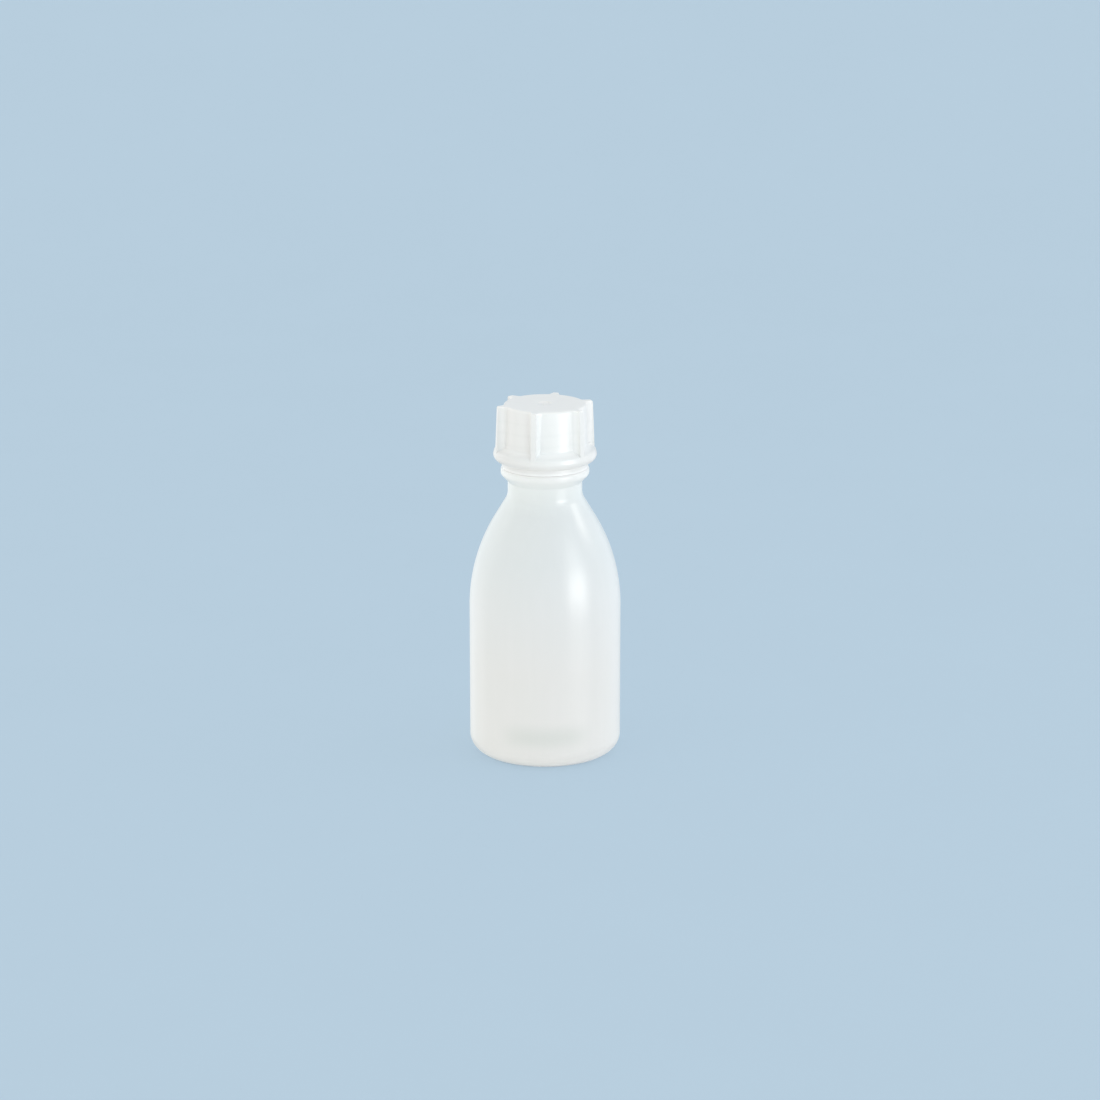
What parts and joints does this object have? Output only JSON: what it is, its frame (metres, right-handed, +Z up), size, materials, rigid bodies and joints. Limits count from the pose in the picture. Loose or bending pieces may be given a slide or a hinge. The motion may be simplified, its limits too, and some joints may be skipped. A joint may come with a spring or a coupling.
{
  "type": "narrow-neck bottle",
  "caption": "Round narrow-neck bottle in translucent plastic with a ribbed screw cap that unscrews and lifts off a threaded neck.",
  "frame": {"origin": "centre of the bottle's foot, on the surface where it stands", "axes": "+Z up along the bottle's axis, towards the cap; +X to the right and +Y away, as the bottle is seen from the front"},
  "size_m": [0.039, 0.039, 0.0923],
  "materials": {
    "bottle_plastic": "natural translucent plastic, milky, satin",
    "cap_plastic": "natural translucent plastic, denser white, satin",
    "disc_foam": "white foamed plastic sheet, matt"
  },
  "bodies": {
    "bottle": {"bottle": "bottle_plastic"},
    "disc": {"sealing_disc": "disc_foam"},
    "cap": {"screw_cap": "cap_plastic"}
  },
  "joints": [
    {"name": "cap_lift", "type": "slide", "parent": "bottle", "child": "disc", "axis": [0, 0, 1], "range_m": [0, 0.0151]},
    {"name": "cap_turn", "type": "hinge", "parent": "disc", "child": "cap", "pos_m": [0, 0, 0.0764], "axis": [0, 0, 1], "range_deg": [0, 1800]}
  ],
  "couplings": [
    {"joint": "cap_lift", "follows": "cap_turn", "m_per_rad": 0.00047746}
  ]
}
